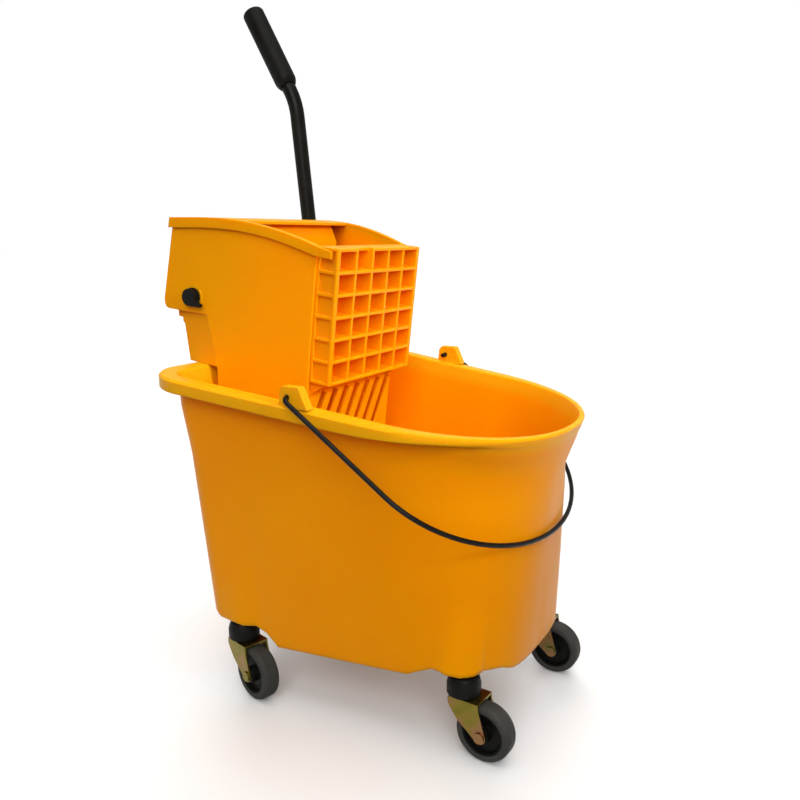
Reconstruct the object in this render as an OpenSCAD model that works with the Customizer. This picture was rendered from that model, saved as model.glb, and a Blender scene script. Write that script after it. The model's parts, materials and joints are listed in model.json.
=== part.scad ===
// Mop bucket on four swivel casters, with a side press wringer hung on its rear rim.
// +X is the front of the bucket, +Y its left side and +Z up, with the floor at z = 0.
// The rim falls toward the front, and the wringer is square to the rim.

/* [Bucket] */
// Front of the rim, ahead of the centre
rim_front = 240; // [230:1:255]
// Back of the rim, behind the centre
rim_back = 243; // [238:1:255]
// Half width of the rim at its rear corners
rim_half_rear = 214; // [206:1:224]
// Half width of the rim where the round nose begins
rim_half_nose = 191; // [184:1:200]
// Radius of the rim's rear corners
rim_corner = 50; // [40:1:60]
// Where the round nose begins, ahead of the centre
nose_start = 60; // [40:1:75]
// Squareness of the nose at the rim, 2 is an ellipse
nose_power_rim = 2.2; // [2:0.1:2.6]
// Squareness of the nose at the top of the wall
nose_power_wall = 1.9; // [1.8:0.1:2.3]
// Squareness of the nose at the floor
nose_power_floor = 3.2; // [3:0.1:3.6]
// Height of the rim over the centre
rim_height = 410; // [400:0.5:425]
// Fall of the rim toward the front, in degrees
rim_fall = 6.4; // [4:0.1:8]
// Width of the rim's flange
flange_w = 22; // [18:0.5:25]
// Thickness of the flange
flange_t = 4; // [3:0.1:6]
// Depth of the skirt under the flange, at the sides and the back
skirt_h = 17; // [14:0.5:22]
// Wall of the bucket
bucket_wall = 4; // [3:0.1:5.5]
// Height of the belly's underside
belly_z = 82; // [79:0.5:86]
// Rise of the belly toward the front, in degrees
belly_rise = 2.8; // [0:0.1:3.5]
// Draw of the front wall from the rim's root to the belly
draft_front = 16; // [12:1:19]
// Draw of the rear wall
draft_rear = 14; // [10:1:20]
// Draw of the side walls where the nose begins
draft_nose = 26; // [22:1:28]
// Draw of the side walls at the rear
draft_side = 28; // [24:1:32]

/* [Lugs and bail] */
// Place of the bail's pivot, behind the centre
bail_back = 29; // [20:1:36]
// Height of the pivot above the rim
bail_rise = 10.5; // [8:0.5:14]
// Thickness of a lug
lug_t = 12; // [9:0.5:15]
// Length of a lug along its foot
lug_len = 40; // [34:1:48]
// Height of a lug above the rim
lug_h = 23; // [20:0.5:28]
// Diameter of the bail's wire
bail_d = 6; // [5:0.1:7]
// Reach of the bail, from its pivot
bail_reach = 303; // [298:1:325]
// Straight length of the bail's legs
bail_leg = 163; // [150:1:180]
// Slope of the hanging bail, in degrees
bail_drop = 34.4; // [31:0.1:34.6]
// Free room round the wire in its lug
bail_play = 0.4; // [0.3:0.05:0.6]

/* [Casters] */
// Distance of the front stems from the front of the rim
stem_from_front = 83; // [80:0.5:90]
// Distance of the rear stems from the back of the rim
stem_from_back = 86; // [83:0.5:93]
// Distance of the front stems from the side of the rim, where the nose begins
stem_from_nose = 76; // [73:0.5:81]
// Distance of the rear stems from the side of the rim, at its rear corners
stem_from_side = 72; // [68:0.5:78]
// Diameter of a stem
stem_d = 11; // [9:0.1:12]
// Length of a stem in its socket
stem_len = 28; // [24:1:30]
// Height of the stem sockets' seats
seat_z = 99; // [96:0.5:104]
// Diameter of a wheel
wheel_d = 70; // [64:0.5:71]
// Width of a tyre
tyre_w = 24; // [20:0.5:26]
// Diameter of a wheel's hub
hub_d = 52; // [46:0.5:55]
// Distance of the wheel's axle from the stem
trail = 30; // [26:0.5:33]
// Diameter of an axle
axle_d = 8; // [6:0.1:10]
// Sheet of a fork
fork_t = 2.5; // [2:0.1:3]
// Diameter of the cup over a fork
cup_d = 41; // [38:0.5:44]
// Turn of each caster about its stem: right front, left front, right rear, left rear
caster_turn = [-3, 0, -16, -10];

/* [Wringer] */
// Half width of the wringer at its front
wringer_half_front = 101; // [98:0.5:106]
// Widening of the wringer toward its back, in degrees
wringer_flare = 7.8; // [5:0.1:8.5]
// Front end of the wringer's walls, behind the centre
wringer_front = 74; // [70:0.5:78]
// Wall of the wringer
wringer_wall = 3.5; // [2.5:0.1:4.5]
// Height of the wringer above the rim
wringer_top = 184; // [180:1:195]
// Depth of the wringer below the rim
wringer_depth = 105; // [95:1:115]
// Depth of the top frame's band
band_h = 13; // [10:0.5:16]
// Thickness of the top frame
frame_t = 4; // [3:0.1:5]
// Front edge of the top deck, behind the centre
deck_front = 178; // [172:1:184]
// Thickness of the waffle grid, front to back
grid_depth = 30; // [26:0.5:34]
// Half width of the grid
grid_half = 98; // [95:0.5:100]
// Ribs of the grid
grid_rib = 4; // [3:0.1:5]
// Columns of pockets on the grid
grid_cols = 5; // [4:1:6]
// Rows of pockets on the grid
grid_rows = 6; // [5:1:7]

/* [Press and lever] */
// Place of the shaft, behind the centre
shaft_back = 249; // [246:0.5:250]
// Height of the shaft above the rim
shaft_rise = 86; // [85:0.5:90]
// Diameter of the shaft
shaft_d = 16; // [12:0.1:18]
// Throw of the crank pins
crank_throw = 64; // [60:0.5:66]
// Diameter of the crank pins
pin_d = 8; // [6:0.1:9]
// Lean of the resting cranks from square, in degrees
crank_back = 18; // [14:0.5:20]
// Sweep of the lever, in degrees
lever_sweep = 88; // [70:1:90]
// Thickness of the press plate
plate_t = 5; // [4:0.1:6]
// Lean of the resting lever, in degrees
lever_lean = 6.4; // [3:0.1:9]
// Side distance of the lever
lever_side = 145; // [142:0.5:150]
// Diameter of the lever's tube
lever_d = 22; // [19:0.5:24]
// Length of the lever up to its bend
lever_len = 258; // [235:1:280]
// Bend of the lever, in degrees
lever_bend = 23.6; // [10:0.2:30]
// Radius of the bend
bend_r = 100; // [70:1:130]
// Length of the grip
grip_len = 132; // [110:1:150]
// Diameter of the grip
grip_d = 33; // [29:0.5:37]

/* [Hidden] */
$fn = 64;

yellow = "#f3ab08";
amber = "#e59a05";
black = "#1c1b1a";
rubber = "#4a4846";
zinc = "#b9a25a";
steel = "#b8b8b4";

// Clearances: a running fit, a seat between fixed pieces and a gap between moving faces
running = 0.05;
seat_gap = 0.1;
slide_gap = 0.3;

function mix(a, b, t) = a + (b - a) * t;
function ease(t) = let (c = min(max(t, 0), 1)) c * c * (3 - 2 * c);
function signed_pow(v, p) = sign(v) * pow(abs(v), p);

// Bucket outlines. An outline is [front, back, half width at the nose, half width at the
// rear, corner radius, nose power], with its points in order round the bucket.
nose_steps = 36;
side_steps = 14;
corner_steps = 7;
back_steps = 12;

function half_of(o, x) =
    mix(o[2], o[3], (nose_start - x) / (nose_start + o[1] - o[4]));
function nose_points(o) = [
    for (i = [0 : nose_steps - 1])
        let (
            a = -90 + 180 * i / nose_steps,
            x = nose_start + (o[0] - nose_start) * pow(cos(a), 2 / o[5])
        )
        [x, half_of(o, x) * signed_pow(sin(a), 2 / o[5])]
];
function side_points(o, side) = [
    for (i = [0 : side_steps - 1])
        let (x = mix(nose_start, o[4] - o[1], i / side_steps))
        [x, side * half_of(o, x)]
];
function corner_points(o, side) = [
    for (i = [0 : corner_steps - 1])
        let (a = 90 + 90 * i / corner_steps)
        [o[4] - o[1] + o[4] * cos(a), side * (o[3] - o[4] + o[4] * sin(a))]
];
function back_points(o) = [
    for (i = [0 : back_steps])
        [-o[1], mix(o[3] - o[4], o[4] - o[3], i / back_steps)]
];
function reversed(list) = [for (i = [len(list) - 1 : -1 : 0]) list[i]];
function outline(o) = concat(
    nose_points(o), side_points(o, 1), corner_points(o, 1), back_points(o),
    reversed(corner_points(o, -1)), [for (p = reversed(side_points(o, -1))) if (p[0] < nose_start) p]
);
function inset(o, d) = [o[0] - d, o[1] - d, o[2] - d, o[3] - d, o[4] - d, o[5]];

function with_power(o, power) = [o[0], o[1], o[2], o[3], o[4], power];

rim = [rim_front, rim_back, rim_half_nose, rim_half_rear, rim_corner, nose_power_rim];
root_w = flange_w + 3;
wall_top = [
    rim_front - flange_w + 6, rim_back - root_w, rim_half_nose - flange_w, rim_half_rear - root_w,
    rim_corner - flange_w, nose_power_wall
];
belly = [
    wall_top[0] - draft_front, wall_top[1] - draft_rear, wall_top[2] - draft_nose,
    wall_top[3] - draft_side, rim_corner - 22, nose_power_floor
];
function wall_outline(s) = [for (i = [0 : 5]) mix(belly[i], wall_top[i], s)];

function rim_z(x) = rim_height - x * tan(rim_fall);

// Stems: right front, left front, right rear, left rear
front_stem = [rim_front - stem_from_front, rim_half_nose - stem_from_nose];
rear_stem = [stem_from_back - rim_back, rim_half_rear - stem_from_side];
stems = [
    [front_stem[0], -front_stem[1]], front_stem, [rear_stem[0], -rear_stem[1]], rear_stem
];
seat_r = cup_d / 2 + 1;
function seat_share(p) =
    max([for (s = stems) 1 - ease((norm(p - s) - seat_r - seat_apron) / seat_fade)]);
seat_proud = 0.6;
seat_apron = 19;
seat_fade = 26;
function belly_at(x) = belly_z + x * tan(belly_rise);
function floor_z(p) = mix(belly_at(p[0]), seat_z + seat_proud, seat_share(p));

// A pod round each stem swells the foot of the wall and fades upward
pod_in = 12;
pod_r = cup_d / 2 + pod_in;
pod_fade = 0.5;
pods = [for (s = stems) s * (1 - pod_in / norm(s))];
function nearest(p) = let (d = [for (c = pods) norm(p - c)]) pods[search(min(d), d)[0]];
function podded(p, s, o_in) =
    let (
        c = nearest(p),
        d = norm(p - c),
        r = pod_r * (1 - s / pod_fade) - o_in
    )
    d < r ? c + (p - c) * r / d : p;

// The wall flares into the rim toward the pouring nose
lip_start = 15;
function nose_share(x) = ease((x - lip_start) / (rim_front - lip_start));

// Rings of the bucket's skin, each a list of points with the same count
function flat_ring(o, share, rise) = [
    for (p = outline(o)) let (q = p * share) [q[0], q[1], floor_z(q) + rise]
];
function wall_ring(o_in, s, rise) = [
    for (q = outline(inset(wall_outline(s), o_in)))
        let (p = podded(q, s, o_in))
        [p[0], p[1], mix(floor_z(p) + rise, rim_z(p[0]), s)]
];
function rim_ring(d_back, d_nose, drop_back, drop_nose, power = nose_power_rim) =
    let (
        back = outline(with_power(inset(rim, d_back), power)),
        nose = outline(with_power(inset(rim, d_nose), power))
    )
    [for (i = [0 : len(back) - 1])
        let (
            share = nose_share(back[i][0]),
            p = mix(back[i], nose[i], share)
        )
        [p[0], p[1], rim_z(p[0]) - mix(drop_back, drop_nose, share)]];

belly_round = 10;
skirt_t = 3;
flare = 60;
inner_w = flange_w - 1;
outer_rings = [
    flat_ring(belly, 0.4, 0),
    flat_ring(belly, 0.68, 0),
    flat_ring(belly, 0.8, 0),
    flat_ring(inset(belly, belly_round + bucket_wall), 1, 0),
    flat_ring(inset(belly, belly_round), 1, 0),
    wall_ring(belly_round * 0.3, 0, belly_round * 0.3),
    wall_ring(0, 0, belly_round),
    wall_ring(0, 0.18, belly_round),
    wall_ring(0, 0.35, belly_round),
    wall_ring(0, 0.7, belly_round),
    rim_ring(root_w, flange_w - 5, skirt_h + 22, flare, nose_power_wall),
    rim_ring(root_w - 1, 9.5, skirt_h, flare * 0.55),
    rim_ring(root_w - 4, 5, flange_t + 1, flare * 0.3),
    rim_ring(skirt_t + 2, 3.2, flange_t, flare * 0.2),
    rim_ring(skirt_t, 2.4, flange_t + 3, flare * 0.16),
    rim_ring(skirt_t, 1.8, skirt_h, flare * 0.125),
    rim_ring(0.6, 1, skirt_h, flare * 0.085),
    rim_ring(0, 0.3, skirt_h - 1.5, flare * 0.06),
    rim_ring(0, 0, 3, 2),
    rim_ring(3, 1.2, 0, 0)
];
inner_rings = [
    rim_ring(inner_w, 5.5, 0, 0),
    rim_ring(inner_w + 3, 8, 3, 4),
    rim_ring(root_w + bucket_wall, flange_w - 5 + bucket_wall, skirt_h + 22, flare, nose_power_wall),
    wall_ring(bucket_wall, 0.7, belly_round),
    wall_ring(bucket_wall, 0.35, belly_round),
    wall_ring(bucket_wall, 0.18, belly_round),
    wall_ring(bucket_wall, 0, belly_round + 2),
    wall_ring(bucket_wall + belly_round * 0.3, 0, belly_round * 0.3 + bucket_wall),
    flat_ring(inset(belly, belly_round + bucket_wall), 1, bucket_wall),
    flat_ring(belly, 0.8, bucket_wall),
    flat_ring(belly, 0.68, bucket_wall),
    flat_ring(belly, 0.4, bucket_wall)
];

// Skin over rings, from one end point to another. Its quads are split one way, and the other way
// from the ring inner_from on and for the points from left[0] to left[1].
module skin(rings, first, last, inner_from = 0, left = [0, 0]) {
    n = len(rings[0]);
    m = len(rings);
    function flipped(k, i) = (inner_from > 0 && k >= inner_from) != (i >= left[0] && i < left[1]);
    points = concat([first], [for (r = rings) each r], [last]);
    faces = concat(
        [for (i = [0 : n - 1]) [0, 1 + i, 1 + (i + 1) % n]],
        [for (k = [0 : m - 2], i = [0 : n - 1])
            let (a = 1 + k * n + i, b = 1 + k * n + (i + 1) % n)
            each flipped(k, i) ? [[a, a + n, b], [b, a + n, b + n]] : [[a, a + n, b + n], [a, b + n, b]]],
        [for (i = [0 : n - 1]) [1 + (m - 1) * n + i, 1 + m * n, 1 + (m - 1) * n + (i + 1) % n]]
    );
    polyhedron(points, faces, convexity = 8);
}

// Bail pivot and lugs
bail_x = -bail_back;
bail_z = rim_z(bail_x) + bail_rise;
lug_y = half_of(rim, bail_x) - lug_t / 2 - 1;
bail_half = lug_y + lug_t / 2 + bail_d / 2 + 5.5;

module lug() {
    foot = rim_z(bail_x) - flange_t / 2;
    top = rim_z(bail_x) + lug_h;
    profile = [
        [bail_x - lug_len * 0.3, foot], [bail_x + lug_len * 0.7, foot],
        [bail_x + lug_len * 0.4, top], [bail_x - lug_len * 0.05 - 4, top],
        [bail_x - lug_len * 0.25, top - 5]
    ];
    across(lug_t) polygon(profile);
}

module bucket() color(yellow) difference() {
    union() {
        skin(
            concat(outer_rings, inner_rings), [0, 0, belly_z], [0, 0, belly_z + bucket_wall],
            len(outer_rings), [nose_steps / 2, nose_steps + side_steps + corner_steps + back_steps / 2]
        );
        for (side = [-1, 1]) translate([0, side * lug_y, 0]) lug();
        for (s = stems) translate([s[0], s[1], seat_z]) cylinder(d = stem_d + 12, h = stem_len + 3);
    }
    for (side = [-1, 1])
        translate([bail_x, side * lug_y, bail_z]) rotate([90, 0, 0])
            cylinder(d = bail_d + 2 * bail_play, h = lug_t + 2, center = true);
    for (s = stems)
        translate([s[0], s[1], seat_z - 5]) cylinder(d = stem_d + 2 * running, h = stem_len + 5.5);
}

// Bail: a swept wire with true pins in the lugs
bail_bend = 9;
wire_sides = 10;
function bail_path() = concat(
    [[0, -bail_half + bail_bend + 1]],
    [for (a = [0 : 30 : 90]) [bail_bend - bail_bend * cos(a), -bail_half + bail_bend - bail_bend * sin(a)]],
    [for (i = [1 : 4]) [mix(bail_bend, bail_leg, i / 5), -bail_half]],
    [for (i = [0 : 40])
        let (a = 180 * i / 40)
        [bail_leg + (bail_reach - bail_leg) * sin(a), -bail_half * cos(a)]],
    [for (i = [4 : -1 : 1]) [mix(bail_bend, bail_leg, i / 5), bail_half]],
    [for (a = [90 : -30 : 0]) [bail_bend - bail_bend * cos(a), bail_half - bail_bend + bail_bend * sin(a)]],
    [[0, bail_half - bail_bend - 1]]
);
function unit(v) = v / norm(v);
function wire_ring(path, i, r, sides) =
    let (
        n = len(path),
        d = unit(path[min(i + 1, n - 1)] - path[max(i - 1, 0)]),
        side = [d[1], -d[0]]
    )
    [for (k = [0 : sides - 1])
        let (a = 360 * k / sides)
        [path[i][0] + side[0] * r * cos(a), path[i][1] + side[1] * r * cos(a), -r * sin(a)]];

module bail() color(black) translate([bail_x, 0, bail_z]) rotate([0, bail_drop, 0]) {
    path = bail_path();
    n = len(path);
    pin_len = lug_t + 8;
    start = concat(path[0], 0);
    rings = [for (i = [0 : n - 1]) wire_ring(path, i, bail_d / 2 * 0.98, wire_sides)];
    skin(rings, start, concat(path[n - 1], 0));
    for (side = [-1, 1])
        translate([0, side * (bail_half - bail_bend + 0.5 - pin_len / 2), 0]) rotate([90, 0, 0])
            cylinder(d = bail_d, h = pin_len, center = true);
}

// Casters, each built at its stem with its trail along +X
wheel_r = wheel_d / 2;
crown_z = wheel_d + 2;
crown_top = crown_z + fork_t + 0.5;
cup_z = crown_top + slide_gap;
arm_y = tyre_w / 2 + 3.5;
hub_w = 2 * arm_y - 1;
axle_head = axle_d / 2 + 2.5;

module at_caster(i) translate([stems[i][0], stems[i][1], 0]) rotate([0, 0, caster_turn[i]]) children();
module at_axle(i) at_caster(i) translate([trail, 0, wheel_r]) rotate([90, 0, 0]) children();

module caster_stem(i) color(steel) at_caster(i) {
    translate([0, 0, crown_z - 3.2]) cylinder(d = stem_d + 4, h = 3);
    translate([0, 0, crown_z - 1]) cylinder(d = stem_d, h = seat_z + stem_len - crown_z + 1);
}

module caster_cup(i) color(black) at_caster(i) difference() {
    rotate_extrude() polygon([
        [0, cup_z], [cup_d / 2 - 1, cup_z], [cup_d / 2, cup_z + 1], [cup_d / 2, mix(cup_z, seat_z, 0.55)],
        [cup_d / 2 - 2, mix(cup_z, seat_z, 0.85)], [cup_d / 2 - 4, seat_z - seat_gap], [0, seat_z - seat_gap]
    ]);
    translate([0, 0, cup_z - 1]) cylinder(d = stem_d + 2 * running, h = seat_z);
}

crown_back = 9 - cup_d / 2;
crown_front = cup_d / 2 + 7;
module fork_arm() {
    eye = axle_head + 1.5;
    difference() {
        union() {
            polygon([
                [crown_back, crown_top], [crown_front, crown_top], [crown_front + 1, crown_z - 5],
                [trail + eye * 0.98, wheel_r + 1], [trail, wheel_r - eye * 0.6],
                [trail - eye * 0.7, wheel_r - eye * 0.65],
                [mix(crown_back, trail, 0.3), mix(crown_z, wheel_r, 0.62)],
                [crown_back + 2, mix(crown_z, wheel_r, 0.25)], [crown_back - 0.5, crown_z - 4]
            ]);
            translate([trail, wheel_r]) circle(r = eye);
        }
        translate([trail, wheel_r]) circle(d = axle_d + 2 * running);
    }
}

module caster_fork(i) color(zinc) at_caster(i) difference() {
    union() {
        for (side = [-1, 1]) translate([0, side * (arm_y + fork_t / 2), 0]) across(fork_t) fork_arm();
        translate([crown_back, -arm_y, crown_z])
            cube([crown_front - crown_back, 2 * arm_y, crown_top - crown_z]);
    }
    translate([0, 0, crown_z - 1]) cylinder(d = stem_d + 2 * running, h = 10);
}

module caster_axle(i) color(zinc) at_axle(i) {
    outer = arm_y + fork_t + seat_gap;
    cylinder(d = axle_d, h = 2 * outer, center = true);
    for (side = [0, 1]) mirror([0, 0, side]) translate([0, 0, outer]) cylinder(r = axle_head, h = 2);
}

module caster_hub(i) color(black) at_axle(i) difference() {
    web = tyre_w / 2 - 7;
    rotate_extrude() polygon([
        [0, -hub_w / 2], [axle_head + 3, -hub_w / 2], [axle_head + 4, -web], [hub_d / 2 - 4, -web],
        [hub_d / 2 - 2, 1 - tyre_w / 2], [hub_d / 2, 1 - tyre_w / 2], [hub_d / 2, tyre_w / 2 - 1],
        [hub_d / 2 - 2, tyre_w / 2 - 1], [hub_d / 2 - 4, web], [axle_head + 4, web],
        [axle_head + 3, hub_w / 2], [0, hub_w / 2]
    ]);
    cylinder(d = axle_d + 2 * running, h = hub_w + 2, center = true);
}

module caster_tyre(i) color(rubber) at_axle(i) {
    inner = hub_d / 2 + running;
    shoulder = 5;
    rotate_extrude() polygon([
        [inner, -tyre_w / 2], [wheel_r - shoulder, -tyre_w / 2], [wheel_r - shoulder / 3, 1.5 - tyre_w / 2],
        [wheel_r, shoulder - tyre_w / 2], [wheel_r, tyre_w / 2 - shoulder],
        [wheel_r - shoulder / 3, tyre_w / 2 - 1.5], [wheel_r - shoulder, tyre_w / 2], [inner, tyre_w / 2]
    ]);
}

// Wringer frame: x along the falling rim, z square to it
module on_rim() translate([0, 0, rim_height]) rotate([0, rim_fall, 0]) children();
module across(t) rotate([90, 0, 0]) linear_extrude(height = t, center = true) children();
function rim_frame_x(x, z) = x * cos(rim_fall) - (z - rim_height) * sin(rim_fall);

front_u = -wringer_front;
hood_lean = 11;
hood_over = 50;
hood_back = rim_back + hood_over;
hood_floor = shaft_rise - 20;
hood_tip = hood_floor + 12;
wall_height = wringer_top - frame_t;
chamber_back = rim_back - flange_w - bucket_wall - 10;
floor_w = -wringer_depth;
dip = 11;
crown = 8;
top_back = hood_lean - hood_back;

function half_at(u) = wringer_half_front + (front_u - u) * tan(wringer_flare);
function top_at(u) =
    let (t = (u - top_back) / (front_u - top_back))
    wringer_top + crown * sin(180 * t) - dip * pow(t, 3);
function hood_at(w) = -hood_back + hood_lean * (w - hood_tip) / (wringer_top - hood_tip);
function top_curve(drop) = [
    for (i = [0 : 18]) let (u = mix(front_u, top_back, i / 20)) [u, top_at(u) - drop]
];
module plan(grow, from, to) polygon([
    [from, -half_at(from) - grow], [to, -half_at(to) - grow],
    [to, half_at(to) + grow], [from, half_at(from) + grow]
]);
spare = 50;
module upright(grow, from, to) translate([0, 0, floor_w - spare])
    linear_extrude(height = wringer_depth + wringer_top + 2 * spare) plan(grow, from, to);
wide = 400;
plan_back = -hood_back - 20;

shell_profile = concat(
    [
        [hood_at(wall_height), wall_height], [-hood_back, hood_tip], [1 - hood_back, hood_floor + 6],
        [3 - hood_back, hood_floor + 2], [7 - hood_back, hood_floor], [-chamber_back - 20, hood_floor],
        [-chamber_back, 0], [-chamber_back + 13, floor_w], [front_u, floor_w]
    ],
    top_curve(frame_t)
);
sill_w = 3;
panel_t = 4;
cavity_profile = let (t = wringer_wall) [
    [hood_at(wall_height) + t, wringer_top + 10], [t - hood_back, hood_tip],
    [t + 5 - hood_back, hood_floor + t], [t - chamber_back - 20, hood_floor + t],
    [t - chamber_back, 0], [t - chamber_back + 13, floor_w + t],
    [front_u - panel_t, floor_w + t], [front_u - panel_t, sill_w], [front_u + 1, sill_w],
    [front_u + 1, wringer_top + 10]
];

// Rear foot: ribs that stand on the rim, a stepped back and a tongue behind the rim
foot_back = rim_back + 11;
foot_half = half_at(-foot_back) - 6;
rib_t = 3.5;
foot_steps = [
    [-hood_back + 14, hood_floor + 0.5], [-hood_back + 16, hood_floor - 10],
    [-hood_back + 23, hood_floor - 10], [-hood_back + 24, hood_floor - 16],
    [-foot_back - 12, hood_floor - 18]
];
rim_gap = 0.2;
tongue_w = 120;
module rear_foot() {
    rib_profile = concat(foot_steps, [
        [-foot_back, rim_gap], [-chamber_back + 1, rim_gap], [-chamber_back - 18, hood_floor + 0.5]
    ]);
    back_profile = concat(foot_steps, [
        [-foot_back, rim_gap], [rib_t - foot_back, rim_gap], [rib_t - foot_back - 12, hood_floor - 18],
        [-hood_back + 24 + rib_t, hood_floor + 0.5]
    ]);
    for (i = [-2 : 2])
        translate([0, i * (foot_half - rib_t / 2) / 2, 0]) across(rib_t) polygon(rib_profile);
    across(2 * foot_half) polygon(back_profile);
    across(tongue_w) polygon([
        [-foot_back - 1, 6], [-foot_back, -skirt_h - 10],
        [rib_t - foot_back, -skirt_h - 10], [rib_t - foot_back, 6]
    ]);
}

// Inside of the bucket's rear wall at a height, and the heels that bear on it
function rear_inside(z) = mix(
    belly[1], wall_top[1], (z - belly_z) / (rim_z(-wall_top[1]) - belly_z)
) - bucket_wall;
heel_w = floor_w + 12;
module heels() {
    x = -chamber_back + 12;
    z = rim_height - x * sin(rim_fall) + heel_w * cos(rim_fall);
    reach = rim_frame_x(-rear_inside(z), z) + 1.2;
    for (side = [-1, 1]) translate([0, side * wringer_half_front / 2, 0]) across(10) polygon([
        [-chamber_back + 14, heel_w - 8], [reach, heel_w],
        [reach, heel_w + 12], [-chamber_back + 8, heel_w + 30]
    ]);
}

slot_lean = -24;
module drain_slots() {
    for (i = [-3 : 3])
        translate([front_u - panel_t / 2, i * 26, (floor_w + sill_w) / 2]) rotate([slot_lean, 0, 0])
            cube([panel_t + 2, 13, wringer_depth - 26], center = true);
    for (i = [-3 : 3], k = [0 : 1])
        translate([-chamber_back + 34 + k * 52, i * 24, floor_w + wringer_wall / 2])
            cube([40, 8, wringer_wall + 2], center = true);
}

boss_in = half_at(-shaft_back) - 16;
boss_out = half_at(-shaft_back) - 1;
bush_d = shaft_d + 8;
module shaft_line() translate([-shaft_back, 0, shaft_rise]) rotate([-90, 0, 0]) children();

module wringer_housing() color(amber) on_rim() difference() {
    union() {
        difference() {
            intersection() {
                across(wide) polygon(shell_profile);
                upright(0, plan_back, front_u);
            }
            intersection() {
                across(wide) polygon(cavity_profile);
                upright(-wringer_wall, plan_back, front_u + 1);
            }
            drain_slots();
        }
        rear_foot();
        heels();
        for (side = [-1, 1]) {
            shaft_line() mirror([0, 0, side < 0 ? 1 : 0]) translate([0, 0, boss_in])
                cylinder(d = bush_d + 6, h = boss_out - boss_in);
            translate([0, side * (grid_half - 8), 0]) across(5) polygon([
                [front_u - 1, sill_w - seat_gap], [front_u + grid_depth - 8, sill_w - seat_gap],
                [front_u - 1, sill_w - 18]
            ]);
        }
    }
    shaft_line() cylinder(d = bush_d, h = 2 * boss_out + 20, center = true);
    screw_holes();
}

// Waffle grid on the front, with pockets on its face and on both of its sides
grid_top = top_at(front_u) - 1;
side_pocket = 4;
module front_grid() color(yellow) on_rim() difference() {
    tall = grid_top - sill_w;
    pitch_w = (tall - grid_rib) / grid_rows;
    first = grid_half - side_pocket - 2.5;
    pitch_y = (2 * first + grid_rib) / grid_cols;
    u0 = front_u + seat_gap;
    translate([u0, -grid_half, sill_w]) cube([grid_depth, 2 * grid_half, tall]);
    for (r = [0 : grid_rows - 1]) translate([0, 0, sill_w + grid_rib + r * pitch_w]) {
        for (c = [0 : grid_cols - 1])
            translate([u0 + 5, -first + c * pitch_y, 0])
                cube([grid_depth, pitch_y - grid_rib, pitch_w - grid_rib]);
        for (side = [-1, 1])
            translate([u0 + grid_depth / 2, side * grid_half, (pitch_w - grid_rib) / 2])
                cube([grid_depth - 2 * grid_rib, 2 * side_pocket, pitch_w - grid_rib], center = true);
    }
    translate([u0 + grid_depth - 8, -first + pitch_y, grid_top - grid_rib - 1])
        cube([grid_depth, pitch_y - grid_rib, grid_rib + 2]);
}

// Top frame: rear deck, side bands over the walls and hooks over the grid's corners
band_out = 3.5;
module top_frame() color(yellow) on_rim() difference() {
    union() {
        difference() {
            intersection() {
                across(wide) polygon(concat(
                    [[-hood_back - band_out + hood_lean, wringer_top]],
                    [[hood_at(wringer_top - band_h) - band_out, wringer_top - band_h]],
                    reversed(top_curve(band_h)), top_curve(0)
                ));
                upright(band_out, plan_back, front_u);
            }
            intersection() {
                across(wide) polygon(concat(
                    [[hood_at(wall_height) - seat_gap, wall_height + seat_gap]],
                    [[hood_at(0) - seat_gap, 0], [front_u + 1, 0]],
                    top_curve(frame_t - seat_gap)
                ));
                upright(seat_gap, plan_back, front_u + 1);
            }
            upright(-wringer_wall, -deck_front, front_u + 1);
        }
        for (side = [-1, 1])
            translate([0, side * (half_at(front_u - 1) + seat_gap + band_out / 2), 0])
                across(band_out) grid_hook();
    }
    screw_holes();
}

module grid_hook() polygon(concat(
    [[front_u - 1, top_at(front_u)], [front_u + grid_depth - 6, top_at(front_u) - 5]],
    [[front_u + grid_depth - 6, top_at(front_u) - 14], [front_u - 1, top_at(front_u) - band_h]]
));

screw_d = 5;
screw_head = 2.5;
screw_w = wringer_top - band_h / 2;
screw_pitch = 80;
screw_lean = atan(hood_lean / (wringer_top - hood_tip));
module rear_screw_line() for (i = [-1 : 1])
    translate([hood_at(screw_w) - band_out, i * screw_pitch, screw_w])
        rotate([0, 90 + screw_lean, 0]) children();
module screw_holes() rear_screw_line() cylinder(d = screw_d + 2 * running, h = 6 * screw_d, center = true);
module frame_screws() color(steel) on_rim() rear_screw_line() difference() {
    union() {
        translate([0, 0, -screw_head - seat_gap]) cylinder(d = 2 * screw_d, h = screw_head);
        translate([0, 0, -screw_head]) cylinder(d = screw_d, h = screw_head + band_out + wringer_wall - 0.5);
    }
    translate([0, 0, -screw_head - seat_gap])
        cube([screw_d / 4, 3 * screw_d, screw_head], center = true);
}

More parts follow.
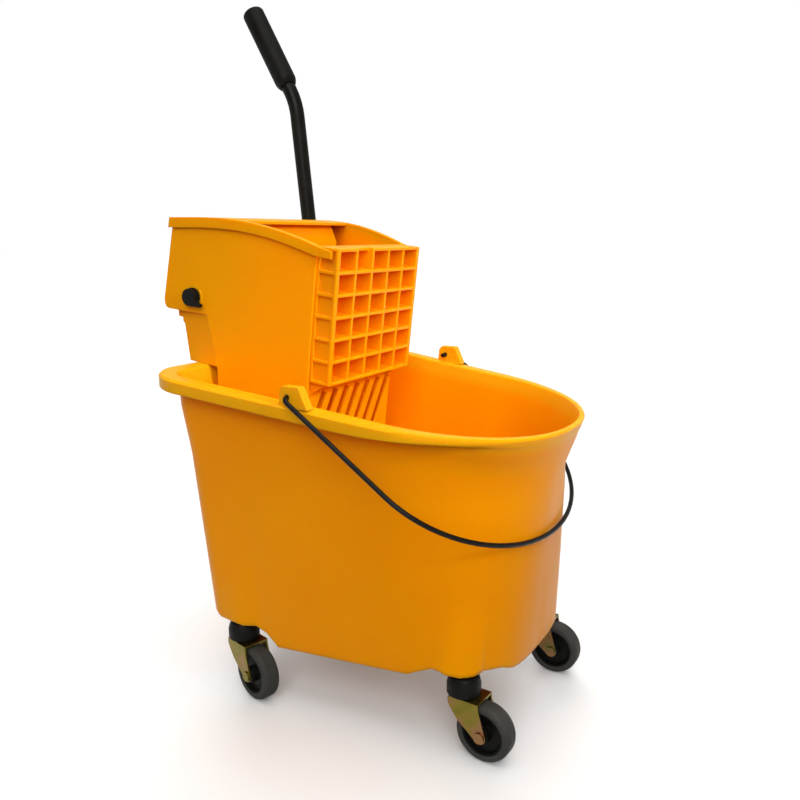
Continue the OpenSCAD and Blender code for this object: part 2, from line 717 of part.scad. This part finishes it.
// Press plate with two yokes, whose slots make its travel follow the lever's turn exactly
plate_rest = chamber_back - 13 - wringer_wall - plate_t - 3;
crank_front = lever_sweep - crank_back;
plate_travel = crank_throw * (sin(crank_back) + sin(crank_front));
plate_per_degree = plate_travel / lever_sweep;
lip_run = 12;
lip_rise = 22;
stiffener_pitch = 36;
stiffener_low = 40;
stiffener_high = 20;
stiffener_out = 6;
stiffener_t = 4;
yoke_in = wringer_half_front - 13;
yoke_t = 6;
yoke_corner = 12;
crank_gap = 3;
crank_t = 8;
function pin_path(a) = [
    crank_throw * sin(a) - plate_per_degree * (a + crank_back),
    crank_throw * cos(a)
];
slot_r = pin_d / 2 + slide_gap;
slot_ease = 0.4;
function path_side(a) =
    let (d = unit(pin_path(a + 1) - pin_path(a - 1))) [-d[1], d[0]];
slot_steps = 16;
module yoke_slot() {
    start = pin_path(-crank_back);
    end = pin_path(crank_front);
    outer = [for (i = [0 : slot_steps])
        let (a = mix(-crank_back, crank_front, i / slot_steps)) pin_path(a) + slot_r * path_side(a)];
    knee = mix(-crank_back, crank_front, 0.75);
    inner = [for (i = [0 : 4])
        let (a = mix(crank_front, knee, i / 4)) pin_path(a) - slot_r * path_side(a)];
    union() {
        polygon(concat(outer, inner, [start - [slot_r, 4 * slot_r], start - [slot_r, 0]]));
        translate(start) circle(r = slot_r + slot_ease);
        translate(end) circle(r = slot_r + slot_ease);
    }
}
module press_plate() color(amber) on_rim() {
    back = -plate_rest - plate_t;
    plate_half = wringer_half_front - wringer_wall - 1.5;
    top = top_at(-plate_rest - lip_run) - frame_t - 2;
    bottom = floor_w + wringer_wall + slide_gap;
    bend_w = top - lip_rise;
    across(2 * plate_half) polygon([
        [back, bottom], [-plate_rest, bottom], [-plate_rest, bend_w], [-plate_rest - lip_run, top],
        [back - lip_run, top], [back, bend_w]
    ]);
    for (i = [-2 : 2])
        translate([back - stiffener_out, i * stiffener_pitch - stiffener_t / 2, bottom + stiffener_low])
            cube([stiffener_out + 0.5, stiffener_t, bend_w - bottom - stiffener_low - stiffener_high]);
    yoke_back = crank_throw * sin(crank_back) + slot_r + 5;
    yoke_low = crank_throw * cos(crank_front) - slot_r - 6;
    yoke_high = crank_throw + slot_r + 6;
    for (side = [-1, 1]) translate([0, side * (yoke_in + yoke_t / 2), 0]) across(yoke_t) difference() {
        polygon([
            [-shaft_back - yoke_back, shaft_rise + yoke_low + yoke_corner],
            [-shaft_back - yoke_back + yoke_corner, shaft_rise + yoke_low],
            [back + 0.5, shaft_rise + yoke_low - 10], [back + 0.5, shaft_rise + yoke_high],
            [-shaft_back - yoke_back, shaft_rise + yoke_high]
        ]);
        translate([-shaft_back, shaft_rise]) yoke_slot();
    }
}

// Shaft with its cranks, bushes and end piece
shaft_stub = 7;
shaft_past = 10;
shaft_near = -half_at(-shaft_back) - shaft_stub;
shaft_far = lever_side + shaft_past;
module drive_shaft() color(steel) on_rim() shaft_line()
    translate([0, 0, shaft_near]) cylinder(d = shaft_d, h = shaft_far - shaft_near);

module bush(side) color(black) on_rim() shaft_line() mirror([0, 0, side < 0 ? 1 : 0])
    translate([0, 0, boss_in]) difference() {
        union() {
            translate([0, 0, -2]) cylinder(d = bush_d - 2 * running, h = boss_out - boss_in + 5);
            translate([0, 0, -2]) cylinder(d = bush_d + 4, h = 2 - seat_gap);
        }
        translate([0, 0, -spare / 2]) cylinder(d = shaft_d + 2 * running, h = spare + boss_out - boss_in);
    }

crank_in = yoke_in + yoke_t + crank_gap;
module crank(side) color(steel) on_rim() translate([-shaft_back, 0, shaft_rise]) rotate([0, -crank_back, 0]) {
    hub_r = shaft_d / 2 + 5;
    eye_r = pin_d / 2 + 4;
    translate([0, side * (crank_in + crank_t / 2), 0]) across(crank_t) difference() {
        union() {
            circle(r = hub_r);
            translate([0, crank_throw]) circle(r = eye_r);
            polygon([
                [-hub_r * 0.9, 0], [hub_r * 0.9, 0], [eye_r * 0.9, crank_throw], [-eye_r * 0.9, crank_throw]
            ]);
        }
        circle(d = shaft_d + 2 * running);
    }
    translate([0, side * (crank_in - (yoke_t + crank_gap + 1.5) / 2 + 1), crank_throw]) rotate([90, 0, 0])
        cylinder(d = pin_d, h = yoke_t + crank_gap + 3.5, center = true);
}

module shaft_retainer() color(black) on_rim() translate([-shaft_back, shaft_near - 1, shaft_rise]) {
    round_r = shaft_d / 2 + 3;
    difference() {
        translate([0, 3, 0]) across(6) union() {
            circle(r = round_r);
            polygon([
                [-1, -round_r * 0.99], [round_r + 8, -round_r * 0.95],
                [round_r + 9, -round_r * 0.6], [round_r + 4.5, -round_r * 0.55],
                [round_r + 1.2, -round_r * 0.28], [round_r * 0.8, 2]
            ]);
        }
        translate([0, 1, 0]) rotate([-90, 0, 0]) cylinder(d = shaft_d + 2 * running, h = 10);
    }
}

// Lever: socket on the shaft, bent tube, grip and the bolt that holds the tube
shaft_x = -shaft_back * cos(rim_fall) + shaft_rise * sin(rim_fall);
shaft_z = rim_height + shaft_back * sin(rim_fall) + shaft_rise * cos(rim_fall);
tube_start = shaft_d / 2 + 6;
tube_wall = 2;
socket_len = 64;
socket_wall = 4;
bolt_at = 44;
bolt_d = 6;
bolt_head = 2.4;
nut_h = 5;
module on_lever() translate([shaft_x, lever_side, shaft_z]) rotate([0, -lever_lean, 0]) children();
module bolt_line() translate([0, 0, bolt_at]) rotate([90, 0, 0]) children();

module lever_socket() color(black) on_lever() difference() {
    hub_half = lever_d / 2 + socket_wall;
    union() {
        rotate([90, 0, 0]) cylinder(r = shaft_d / 2 + 7, h = 2 * hub_half - 4, center = true);
        cylinder(r = hub_half, h = socket_len);
    }
    translate([0, -hub_half - 1, 0]) rotate([-90, 0, 0])
        cylinder(d = shaft_d + 2 * running, h = hub_half + 1 + shaft_far - lever_side + seat_gap);
    translate([0, 0, tube_start]) cylinder(d = lever_d + 2 * running, h = socket_len);
    bolt_line() cylinder(d = bolt_d + 2 * running, h = 60, center = true);
}

module bore(from, to) translate([0, 0, from]) cylinder(d = lever_d - 2 * tube_wall, h = to - from);
plug = 4;
bend_sides = 32;
bend_steps = 10;
bend_path = concat(
    [[0, lever_len - plug / 2]],
    [for (i = [0 : bend_steps])
        let (a = lever_bend * i / bend_steps) [bend_r * (cos(a) - 1), lever_len + bend_r * sin(a)]],
    [[bend_r * (cos(lever_bend) - 1), lever_len + bend_r * sin(lever_bend)]
        + plug / 2 * [-sin(lever_bend), cos(lever_bend)]]
);
module tube_bend() rotate([90, 0, 0]) {
    n = len(bend_path);
    rings = [for (i = [0 : n - 1]) wire_ring(bend_path, i, lever_d / 2 * 0.99, bend_sides)];
    skin(rings, concat(bend_path[0], 0), concat(bend_path[n - 1], 0));
}
module after_bend() translate([-bend_r, 0, lever_len]) rotate([0, -lever_bend, 0])
    translate([bend_r, 0, 0]) children();

module lever_tube() color(black) on_lever() {
    difference() {
        translate([0, 0, tube_start]) cylinder(d = lever_d, h = lever_len - tube_start);
        bore(tube_start - 1, lever_len - plug);
        bolt_line() cylinder(d = bolt_d + 2 * running, h = 60, center = true);
    }
    tube_bend();
    after_bend() difference() {
        cylinder(d = lever_d, h = grip_len);
        bore(plug, grip_len + 1);
    }
}

grip_start = 8;
grip_round = 6;
module lever_grip() color(black) on_lever() after_bend() difference() {
    r = grip_d / 2;
    top = grip_start + grip_len;
    rotate_extrude() polygon(concat(
        [[0, grip_start], [lever_d / 2 + 2, grip_start], [r - 1, grip_start + 5]],
        [[r, grip_start + 9]],
        [for (a = [0 : 15 : 90]) [r - grip_round * (1 - cos(a)), top - grip_round * (1 - sin(a))]],
        [[0, top + 1]]
    ));
    cylinder(d = lever_d + 2 * running, h = grip_len + seat_gap);
}

module lever_bolt() color(steel) on_lever() bolt_line() {
    half = lever_d / 2 + socket_wall + seat_gap;
    translate([0, 0, -half - nut_h - 2]) cylinder(d = bolt_d, h = 2 * half + nut_h + 3);
    translate([0, 0, half]) cylinder(d = 2 * bolt_d, h = bolt_head);
    translate([0, 0, -half - nut_h]) cylinder(d = 1.9 * bolt_d, h = nut_h, $fn = 6);
}

bucket();
bail();
caster_stem(0);  // right_front_stem
caster_cup(0);  // right_front_cup
caster_fork(0);  // right_front_fork
caster_axle(0);  // right_front_axle
caster_hub(0);  // right_front_hub
caster_tyre(0);  // right_front_tyre
caster_stem(1);  // left_front_stem
caster_cup(1);  // left_front_cup
caster_fork(1);  // left_front_fork
caster_axle(1);  // left_front_axle
caster_hub(1);  // left_front_hub
caster_tyre(1);  // left_front_tyre
caster_stem(2);  // right_rear_stem
caster_cup(2);  // right_rear_cup
caster_fork(2);  // right_rear_fork
caster_axle(2);  // right_rear_axle
caster_hub(2);  // right_rear_hub
caster_tyre(2);  // right_rear_tyre
caster_stem(3);  // left_rear_stem
caster_cup(3);  // left_rear_cup
caster_fork(3);  // left_rear_fork
caster_axle(3);  // left_rear_axle
caster_hub(3);  // left_rear_hub
caster_tyre(3);  // left_rear_tyre
wringer_housing();
front_grid();
top_frame();
frame_screws();
press_plate();
bush(1);  // left_bush
bush(-1);  // right_bush
drive_shaft();
crank(1);  // left_crank
crank(-1);  // right_crank
shaft_retainer();
lever_socket();
lever_bolt();
lever_tube();
lever_grip();
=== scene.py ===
"""Looks of a wheeled mop bucket with a side press wringer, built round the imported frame."""
import json
import math

import bpy
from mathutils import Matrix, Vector


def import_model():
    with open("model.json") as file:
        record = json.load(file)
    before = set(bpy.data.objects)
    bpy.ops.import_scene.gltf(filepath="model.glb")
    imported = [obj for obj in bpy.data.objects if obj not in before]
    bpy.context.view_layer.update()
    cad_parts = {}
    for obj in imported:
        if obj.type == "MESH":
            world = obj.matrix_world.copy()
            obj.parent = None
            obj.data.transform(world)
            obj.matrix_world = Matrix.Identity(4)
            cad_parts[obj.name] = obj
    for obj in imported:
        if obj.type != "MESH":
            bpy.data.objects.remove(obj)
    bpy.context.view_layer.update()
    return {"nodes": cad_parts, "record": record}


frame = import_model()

MM = 0.001

# Colours, as linear shares of red, green and blue
YELLOW = (0.96, 0.350, 0.0)
AMBER = (0.94, 0.318, 0.0)
# Painted highlight: a lighter yellow laid along the sharp edges of the plastic
EDGE_HIGHLIGHT = (0.97, 0.42, 0.01)
# Painted light: a paler yellow for the bucket's rim, as if lit from above
RIM_PAINTED_LIGHT = (0.90, 0.40, 0.004)
BLACK = (0.004, 0.0035, 0.0025)
BLACK_WORN = (0.010, 0.009, 0.006)
GRIP_DUST = (0.014, 0.014, 0.012)
TYRE_GREY = (0.040, 0.039, 0.035)
TYRE_DUST = (0.066, 0.063, 0.056)
PLASTIC_BLACK = (0.003, 0.003, 0.0025)
PLASTIC_DUST = (0.007, 0.007, 0.006)

# Colours that go over into each other: where each one stands between 0 and 1
ZINC = (
    (0.25, (0.15, 0.135, 0.02)), (0.45, (0.21, 0.17, 0.03)),
    (0.60, (0.28, 0.15, 0.07)), (0.78, (0.16, 0.16, 0.04)),
)
STEEL = ((0.3, (0.50, 0.50, 0.48)), (0.7, (0.62, 0.61, 0.58)))
FLOOR_WHITE = ((0.3, (0.90, 0.90, 0.895)), (0.7, (0.93, 0.93, 0.925)))

# The bucket's rim: its fall toward the front, and the heights at x = 0 between which its painted
# light, a paler yellow as if lit from above, fades in
RIM = {"slope": 0.1122, "low": 0.386, "high": 0.398}

# Most of a noise lies between these values
NOISE_LOW, NOISE_HIGH = 0.3, 0.7

# The colour sockets of a Mix node, which share their names with others
MIX_FIRST, MIX_SECOND, MIX_RESULT = 6, 7, 2

# Rounded edges: how wide, in millimetres, and from which angle on, in degrees
EDGES = {
    "bucket": (1.2, 42),
    "bail": (0.0, 30),
    "wringer_housing": (0.9, 30),
    "front_grid": (0.8, 30),
    "top_frame": (1.2, 30),
    "press_plate": (1.0, 30),
    "lever_tube": (0.0, 30),
    "lever_grip": (0.0, 30),
    "lever_socket": (0.8, 35),
    "shaft_retainer": (1.2, 35),
}
EDGE_OF_KIND = {
    "fork": (0.6, 35),
    "tyre": (1.2, 20),
    "hub": (0.6, 35),
    "cup": (0.6, 35),
    "axle": (0.6, 35),
}
PLAIN_EDGE = (0.4, 35)


# Small helpers for node trees
def set_range(node, from_low, from_high, to_low, to_high):
    """Sets which range a Map Range node reads and which range it gives."""
    for name, value in (
        ("From Min", from_low), ("From Max", from_high), ("To Min", to_low), ("To Max", to_high)
    ):
        node.inputs[name].default_value = value


class Shader:
    """A material with a Principled shader, and short ways to add nodes to it."""

    def __init__(self, name):
        self.material = bpy.data.materials.new(name)
        self.material.use_nodes = True
        self.tree = self.material.node_tree
        self.tree.nodes.clear()
        output = self.add("ShaderNodeOutputMaterial")
        self.surface = self.add("ShaderNodeBsdfPrincipled")
        self.link(self.surface.outputs["BSDF"], output.inputs["Surface"])
        self.place = self.add("ShaderNodeTexCoord").outputs["Object"]

    def add(self, kind, **inputs):
        node = self.tree.nodes.new(kind)
        for name, value in inputs.items():
            node.inputs[name.replace("_", " ")].default_value = value
        return node

    def link(self, source, target):
        self.tree.links.new(source, target)

    def set(self, **values):
        for name, value in values.items():
            self.surface.inputs[name.replace("_", " ")].default_value = value

    def noise(self, per_metre, detail=2.0, stretch=None):
        """A noise with about so many spots to a metre."""
        node = self.add("ShaderNodeTexNoise", Scale=per_metre, Detail=detail)
        place = self.place
        if stretch:
            mapping = self.add("ShaderNodeMapping", Scale=stretch)
            self.link(place, mapping.inputs["Vector"])
            place = mapping.outputs["Vector"]
        self.link(place, node.inputs["Vector"])
        return node.outputs["Fac"]

    def span(self, source, low, high, from_low=NOISE_LOW, from_high=NOISE_HIGH):
        """The source, spread from one range to another."""
        node = self.add("ShaderNodeMapRange")
        set_range(node, from_low, from_high, low, high)
        self.link(source, node.inputs["Value"])
        return node.outputs["Result"]

    def ramp(self, source, stops):
        """The stops' colours, chosen by the source."""
        node = self.add("ShaderNodeValToRGB")
        elements = node.color_ramp.elements
        while len(elements) < len(stops):
            elements.new(0.5)
        for element, (position, colour) in zip(elements, stops):
            element.position = position
            element.color = (*colour, 1.0)
        self.link(source, node.inputs["Fac"])
        return node.outputs["Color"]

    def colour(self, source):
        self.link(source, self.surface.inputs["Base Color"])

    def roughness(self, source):
        self.link(source, self.surface.inputs["Roughness"])

    def rounding(self, radius):
        """Normals that run softly round each sharp edge."""
        node = self.add("ShaderNodeBevel", Radius=radius)
        node.samples = 6
        return node.outputs["Normal"]

    def dot(self, first):
        """A node for the dot product of this vector and one that is still to be set."""
        node = self.add("ShaderNodeVectorMath")
        node.operation = "DOT_PRODUCT"
        self.link(first, node.inputs[0])
        return node

    def painted_highlight_mask(self, rounded, first, last):
        """A mask of the sharp edges for a painted highlight: the more the rounded normal leaves
        the face, the stronger.
        """
        turn = self.dot(rounded)
        self.link(self.add("ShaderNodeNewGeometry").outputs["Normal"], turn.inputs[1])
        return self.span(turn.outputs["Value"], 0.0, 1.0, from_low=first, from_high=last)

    def above(self, slope, low, high):
        """A share that grows with height over a plane that falls toward the front."""
        height = self.dot(self.place)
        height.inputs[1].default_value = (slope, 0.0, 1.0)
        return self.span(height.outputs["Value"], 0.0, 1.0, from_low=low, from_high=high)

    def mix(self, share, source, colour):
        """The source's colour, going over to another one where the share grows."""
        node = self.add("ShaderNodeMix")
        node.data_type = "RGBA"
        self.link(share, node.inputs["Factor"])
        self.link(source, node.inputs[MIX_FIRST])
        node.inputs[MIX_SECOND].default_value = (*colour, 1.0)
        return node.outputs[MIX_RESULT]

    def bump(self, source, depth, strength, after=None):
        """Hills and hollows of the source's form, laid over earlier ones where these are given."""
        node = self.add("ShaderNodeBump", Strength=strength, Distance=depth)
        self.link(source, node.inputs["Height"])
        if after is not None:
            self.link(after, node.inputs["Normal"])
        self.link(node.outputs["Normal"], self.surface.inputs["Normal"])
        return node.outputs["Normal"]


# Materials
def moulded(name, rough, rim=None):
    """Dyed, slightly see-through plastic: faint flow clouds, a fine mould grain and soft scuffs.
    Sharp edges get a painted highlight in a lighter yellow, and the thick rim of a thin-walled
    piece is painted paler, as if lit from above."""
    shader = Shader(name)
    clouds = shader.noise(per_metre=7.0, detail=3.0)
    tone = shader.ramp(clouds, ((0.25, AMBER), (0.75, YELLOW)))
    # Painted light: the rim is painted paler above a height, as if lit from above
    if rim:
        tone = shader.mix(shader.above(**rim), tone, RIM_PAINTED_LIGHT)
    rounded = shader.rounding(radius=1.6 * MM)
    # Painted highlight: the sharp edges go over to a lighter yellow
    edges = shader.painted_highlight_mask(rounded, first=0.99, last=0.80)
    shader.colour(shader.mix(edges, tone, EDGE_HIGHLIGHT))
    scuffs = shader.noise(per_metre=30.0, detail=5.0, stretch=(1.0, 1.0, 0.25))
    shader.roughness(shader.span(scuffs, low=rough - 0.05, high=rough + 0.09))
    waves = shader.noise(per_metre=22.0, detail=1.0)
    wavy = shader.bump(waves, depth=0.5 * MM, strength=0.25, after=rounded)
    grain = shader.noise(per_metre=1300.0)
    shader.bump(grain, depth=0.05 * MM, strength=0.35, after=wavy)
    shader.set(
        Subsurface_Weight=0.6, Subsurface_Scale=0.008, Subsurface_Radius=(1.0, 0.3, 0.02),
        Specular_IOR_Level=0.16, Specular_Tint=(1.0, 0.75, 0.2, 1.0),
    )
    return shader.material


def painted(name, rough):
    """Black coat on steel, with a faint orange peel and duller patches."""
    shader = Shader(name)
    wear = shader.noise(per_metre=40.0, detail=6.0)
    shader.colour(shader.ramp(wear, ((0.35, BLACK), (0.8, BLACK_WORN))))
    patches = shader.noise(per_metre=55.0, detail=4.0)
    shader.roughness(shader.span(patches, low=rough - 0.07, high=rough + 0.1))
    peel = shader.noise(per_metre=650.0, detail=1.5)
    shader.bump(peel, depth=0.08 * MM, strength=0.4)
    shader.set(Specular_IOR_Level=0.14)
    return shader.material


def grained(name, colour, dusty, rough, per_metre, depth):
    """Rubber or matt plastic with a pebbled skin."""
    shader = Shader(name)
    dust = shader.noise(per_metre=28.0, detail=6.0)
    shader.colour(shader.ramp(dust, ((0.3, colour), (0.8, dusty))))
    patches = shader.noise(per_metre=70.0, detail=4.0)
    shader.roughness(shader.span(patches, low=rough - 0.08, high=rough + 0.08))
    pebbles = shader.add("ShaderNodeTexVoronoi", Scale=per_metre)
    shader.link(shader.place, pebbles.inputs["Vector"])
    shader.bump(pebbles.outputs["Distance"], depth=depth, strength=0.5)
    shader.set(Specular_IOR_Level=0.1)
    return shader.material


def plated(name, stops, rough):
    """Bare or plated metal, whose colour shifts from patch to patch, with fine drawing marks."""
    shader = Shader(name)
    patches = shader.noise(per_metre=38.0, detail=2.5)
    shader.colour(shader.ramp(patches, stops))
    smears = shader.noise(per_metre=240.0, detail=3.0)
    shader.roughness(shader.span(smears, low=rough - 0.08, high=rough + 0.1))
    marks = shader.noise(per_metre=900.0, stretch=(1.0, 1.0, 0.15))
    shader.bump(marks, depth=0.03 * MM, strength=0.3)
    shader.set(Metallic=1.0)
    return shader.material


MATERIALS = {
    "bucket_plastic": moulded("bucket_plastic", rough=0.36, rim=RIM),
    "wringer_plastic": moulded("wringer_plastic", rough=0.38),
    "black_wire": painted("black_wire", rough=0.32),
    "black_paint": painted("black_paint", rough=0.36),
    "grip_rubber": grained(
        "grip_rubber", BLACK, GRIP_DUST, rough=0.5, per_metre=900.0, depth=0.12 * MM
    ),
    "tyre_rubber": grained(
        "tyre_rubber", TYRE_GREY, TYRE_DUST, rough=0.55, per_metre=700.0, depth=0.08 * MM
    ),
    "black_plastic": grained(
        "black_plastic", PLASTIC_BLACK, PLASTIC_DUST,
        rough=0.42, per_metre=1500.0, depth=0.03 * MM,
    ),
    "zinc_plate": plated("zinc_plate", ZINC, rough=0.34),
    "bright_steel": plated("bright_steel", STEEL, rough=0.3),
}


# The pieces
def soften(piece, width, angle):
    """Welds a node's faces, rounds its sharp edges and shades it smoothly."""
    for polygon in piece.data.polygons:
        polygon.use_smooth = True
    weld = piece.modifiers.new("weld", "WELD")
    weld.merge_threshold = 0.3 * MM
    if width:
        bevel = piece.modifiers.new("edges", "BEVEL")
        bevel.width = width * MM
        bevel.segments = 3
        bevel.limit_method = "ANGLE"
        bevel.angle_limit = math.radians(angle)
        bevel.harden_normals = True
    normals = piece.modifiers.new("normals", "WEIGHTED_NORMAL")
    normals.keep_sharp = True


for row in frame["record"]["subparts"]:
    node_name = row["node"]
    node_kind = node_name.split("_")[-1]
    node_piece = frame["nodes"][node_name]
    node_piece.data.materials.clear()
    node_piece.data.materials.append(MATERIALS[row["material_slot"]])
    soften(node_piece, *(EDGES.get(node_name) or EDGE_OF_KIND.get(node_kind, PLAIN_EDGE)))


# Floor, light and camera
def placed(name, data):
    """A new object in the scene that carries the data."""
    thing = bpy.data.objects.new(name, data)
    bpy.context.scene.collection.objects.link(thing)
    return thing


def floor(half):
    """A square floor, of which half a side is given. It throws no light back up."""
    mesh = bpy.data.meshes.new("floor")
    corners = [(-half, -half, 0), (half, -half, 0), (half, half, 0), (-half, half, 0)]
    mesh.from_pydata(corners, [], [(0, 1, 2, 3)])
    plane = placed("floor", mesh)
    shader = Shader("floor")
    shader.colour(shader.ramp(shader.noise(per_metre=3.0), FLOOR_WHITE))
    shader.set(Roughness=0.7)
    mesh.materials.append(shader.material)
    plane.visible_diffuse = False


def lamp(name, kind, place, target, power, gloss):
    """A lamp that shines from its place toward its target, and shows in gloss or doesn't."""
    data = bpy.data.lights.new(name, kind)
    data.energy = power
    thing = placed(name, data)
    thing.location = place
    thing.rotation_euler = (Vector(target) - Vector(place)).to_track_quat("-Z", "Y").to_euler()
    thing.visible_glossy = gloss
    return data


def sun(name, place, power, spread, gloss=True):
    """A soft light from far away, whose spread is in degrees."""
    data = lamp(name, "SUN", place, (0, 0, 0), power, gloss)
    data.angle = math.radians(spread)


def spot(name, place, target, power, cone, size):
    """A soft-edged light on one place, whose cone is in degrees."""
    data = lamp(name, "SPOT", place, target, power, gloss=False)
    data.spot_size = math.radians(cone)
    data.spot_blend = 0.8
    data.shadow_soft_size = size


def world(below, level, above, backdrop):
    """A studio that is dim below, brightest at eye level and a little softer overhead.
    The camera itself sees the backdrop's brightness instead."""
    horizon = (-0.15, -0.02)
    overhead = (0.27, 0.45)
    studio = bpy.data.worlds.new("studio")
    studio.use_nodes = True
    tree = studio.node_tree
    place = tree.nodes.new("ShaderNodeTexCoord")
    axes = tree.nodes.new("ShaderNodeSeparateXYZ")
    tree.links.new(place.outputs["Generated"], axes.inputs["Vector"])
    back = tree.nodes["Background"]
    back.inputs["Color"].default_value = (1.0, 1.0, 1.0, 1.0)
    total = tree.nodes.new("ShaderNodeMath")
    steps = ((*horizon, below, level), (*overhead, 0.0, above - level))
    for step, addend in zip(steps, total.inputs):
        fade = tree.nodes.new("ShaderNodeMapRange")
        fade.interpolation_type = "SMOOTHSTEP"
        set_range(fade, *step)
        tree.links.new(axes.outputs["Z"], fade.inputs["Value"])
        tree.links.new(fade.outputs["Result"], addend)
    path = tree.nodes.new("ShaderNodeLightPath")
    seen = tree.nodes.new("ShaderNodeMix")
    seen.inputs["B"].default_value = backdrop
    tree.links.new(path.outputs["Is Camera Ray"], seen.inputs["Factor"])
    tree.links.new(total.outputs["Value"], seen.inputs["A"])
    tree.links.new(seen.outputs["Result"], back.inputs["Strength"])
    bpy.context.scene.world = studio


def camera(place, tilt, turn, lens):
    """A camera that looks down by the tilt and is turned to the left, both in degrees."""
    data = bpy.data.cameras.new("camera")
    data.sensor_width = 36.0
    data.lens = lens
    data.clip_start = 0.01
    eye = placed("camera", data)
    eye.location = place
    eye.rotation_euler = (math.radians(90 - tilt), 0, math.radians(turn))
    bpy.context.scene.camera = eye


floor(half=20.0)
world(below=0.12, level=0.40, above=0.38, backdrop=1.0)
sun("key", place=(0.45, -0.84, 0.62), power=1.55, spread=40)
sun("top", place=(0.3, -0.1, 1.9), power=1.3, spread=50)
sun("back", place=(-0.5, 1.0, 0.35), power=2.4, spread=60, gloss=False)
spot(
    "grid", place=(1.05, -0.20, 0.95), target=(-0.10, 0.0, 0.49), power=42.0, cone=34, size=0.15
)
camera(place=(0.5339, -0.9015, 0.6029), tilt=11.53, turn=30.56, lens=36.54)
bpy.context.scene.view_settings.view_transform = "Standard"
